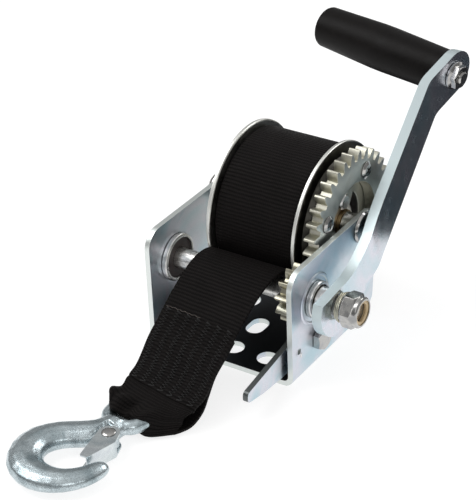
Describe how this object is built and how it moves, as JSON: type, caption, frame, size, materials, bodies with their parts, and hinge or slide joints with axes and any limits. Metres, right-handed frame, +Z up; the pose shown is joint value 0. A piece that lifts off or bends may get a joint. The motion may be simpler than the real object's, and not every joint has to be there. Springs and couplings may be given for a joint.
{
  "type": "boat trailer winch",
  "caption": "Hand winch in a plated channel frame: geared strap drum, cranked drive shaft with grip, pawl lever, black webbing strap and latched tow hook.",
  "frame": {"origin": "centre of the frame's web on its underside, midway between the side plates and between the web's front and back edges", "axes": "+X along the shafts towards the crank, +Z up from the web, and the strap leaves towards -Y"},
  "size_m": [0.1305, 0.366, 0.125],
  "materials": {
    "zinc_plate": "zinc-plated sheet steel, light blue-white passivation",
    "bright_steel": "bright zinc-plated steel fasteners and turned parts",
    "gear_zinc": "warm beige zinc-plated gear steel",
    "forged_zinc": "matt zinc-plated forging",
    "webbing": "black ribbed polyester webbing",
    "grip_plastic": "satin black moulded plastic",
    "seal": "dark brown-black bearing seal",
    "nylon": "amber nylon locking ring",
    "bush_bronze": "oiled sintered bronze"
  },
  "bodies": {
    "frame_body": {"frame": "zinc_plate", "left_bearing": "bright_steel", "left_bearing_seal": "seal", "right_bearing": "bright_steel", "right_bearing_seal": "seal", "axle_bolt": "bright_steel", "axle_nut": "bright_steel", "left_axle_spacer": "bright_steel", "right_axle_spacer": "bright_steel", "pawl_pivot_bolt": "bright_steel", "pawl_pivot_nut": "bright_steel", "pawl_spacer": "bright_steel", "pawl_spring": "bright_steel", "strap_tail": "webbing"},
    "drum_body": {"drum_core": "zinc_plate", "left_flange": "bright_steel", "right_flange": "bright_steel", "drum_gear": "gear_zinc", "gear_screw_1": "bright_steel", "gear_screw_2": "bright_steel", "gear_screw_3": "bright_steel", "gear_screw_4": "bright_steel", "left_drum_bush": "bush_bronze", "right_drum_bush": "bush_bronze", "strap_anchor_pin": "bright_steel", "strap_roll": "webbing"},
    "crank_body": {"drive_shaft": "bright_steel", "pinion_gear": "gear_zinc", "shaft_clip": "bright_steel", "shaft_collar": "bright_steel", "crank_arm": "zinc_plate", "crank_spring": "gear_zinc", "crank_nut": "bright_steel", "crank_nut_insert": "nylon", "grip_bolt": "bright_steel", "grip_nut": "bright_steel"},
    "grip_body": {"crank_grip": "grip_plastic", "grip_end_cap": "grip_plastic"},
    "pawl_body": {"pawl_lever": "zinc_plate"},
    "hook_body": {"tow_hook": "forged_zinc", "latch_rivet": "bright_steel", "latch_spring": "bright_steel"},
    "latch_body": {"hook_latch": "bright_steel"}
  },
  "joints": [
    {"name": "drum_spin", "type": "hinge", "parent": "frame_body", "child": "drum_body", "pos_m": [0, 0.0378, 0.0626], "axis": [1, 0, 0], "continuous": true},
    {"name": "crank_spin", "type": "hinge", "parent": "frame_body", "child": "crank_body", "pos_m": [0, -0.0141, 0.0444], "axis": [1, 0, 0], "continuous": true},
    {"name": "grip_spin", "type": "hinge", "parent": "crank_body", "child": "grip_body", "pos_m": [0.03863, 0.15461, 0.10714], "axis": [0.986, -0.1563, -0.0581], "continuous": true},
    {"name": "pawl_pivot", "type": "hinge", "parent": "frame_body", "child": "pawl_body", "pos_m": [0.0402, -0.0105, 0.018], "axis": [1, 0, 0], "range_deg": [-4, 4]},
    {"name": "hook_swing", "type": "hinge", "parent": "frame_body", "child": "hook_body", "pos_m": [-0.0083, -0.1006, 0.0069], "axis": [-0.9833, 0.1822, 0], "range_deg": [0, 60]},
    {"name": "latch_pivot", "type": "hinge", "parent": "hook_body", "child": "latch_body", "pos_m": [-0.00662, -0.13325, 0.0069], "axis": [0, 0, -1], "range_deg": [0, 25], "stiffness_Nm_per_rad": 0.05, "springref_deg": -20.05}
  ],
  "couplings": [
    {"joint": "crank_spin", "follows": "drum_spin", "ratio": -3}
  ]
}
